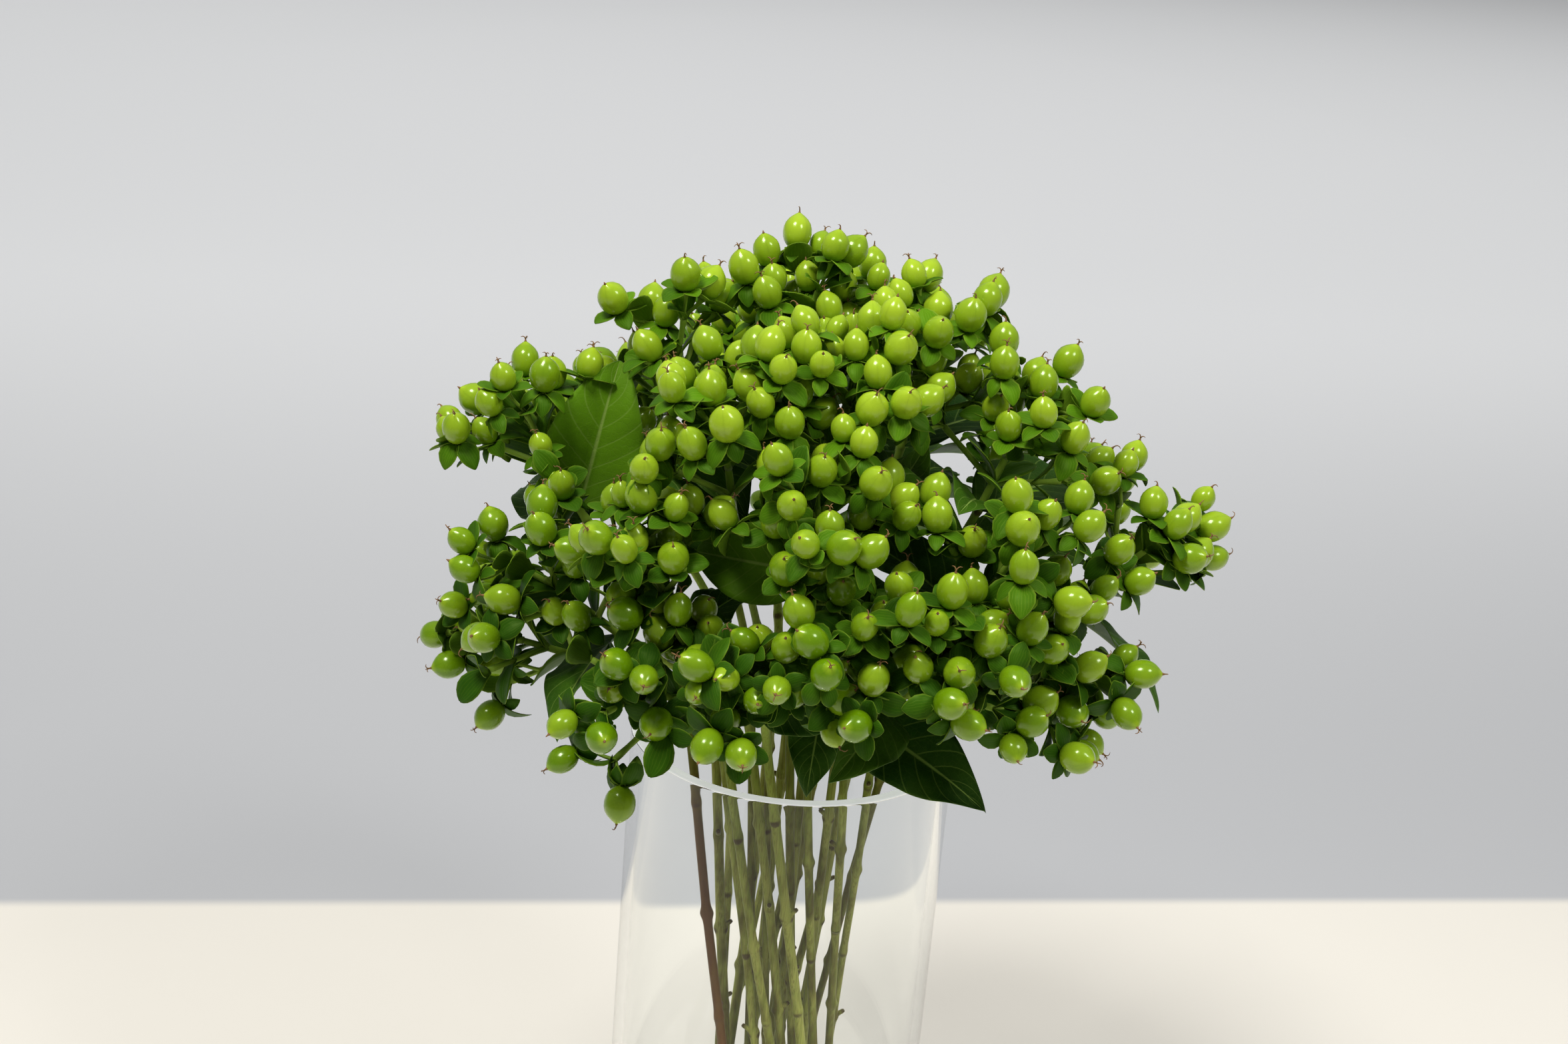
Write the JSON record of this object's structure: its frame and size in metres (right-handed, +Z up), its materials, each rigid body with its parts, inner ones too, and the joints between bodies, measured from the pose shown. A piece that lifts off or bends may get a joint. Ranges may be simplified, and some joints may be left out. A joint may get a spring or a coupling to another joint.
{
  "type": "hypericum berry stems in a glass cylinder vase",
  "caption": "Cut hypericum stems with stalked green berries, leafy calyces and pointed leaves, standing in a clear cylinder vase with a little water.",
  "frame": {"origin": "centre of the vase's underside, on the surface it stands on", "axes": "+Z up along the vase's axis; the bunch's front, where its lowest leaves hang over the rim, faces -Y"},
  "size_m": [0.3141, 0.2846, 0.4635],
  "materials": {
    "glass": "clear, polished",
    "water": "clear, wet",
    "plant": "waxy green, glossy on the berries"
  },
  "bodies": {
    "root": {"vase": "glass", "water": "water", "berry_stem_01": "plant", "berry_stem_02": "plant", "berry_stem_03": "plant", "berry_stem_04": "plant", "berry_stem_05": "plant", "berry_stem_06": "plant", "berry_stem_07": "plant", "berry_stem_08": "plant", "berry_stem_09": "plant", "berry_stem_10": "plant", "berry_stem_11": "plant", "berry_stem_12": "plant", "berry_stem_13": "plant", "berry_stem_14": "plant", "berry_stem_15": "plant", "berry_stem_16": "plant", "berry_stem_17": "plant", "berry_stem_18": "plant", "berry_stem_19": "plant", "berry_stem_20": "plant", "berry_stem_21": "plant", "berry_stem_22": "plant", "berry_stem_23": "plant"}
  },
  "joints": []
}
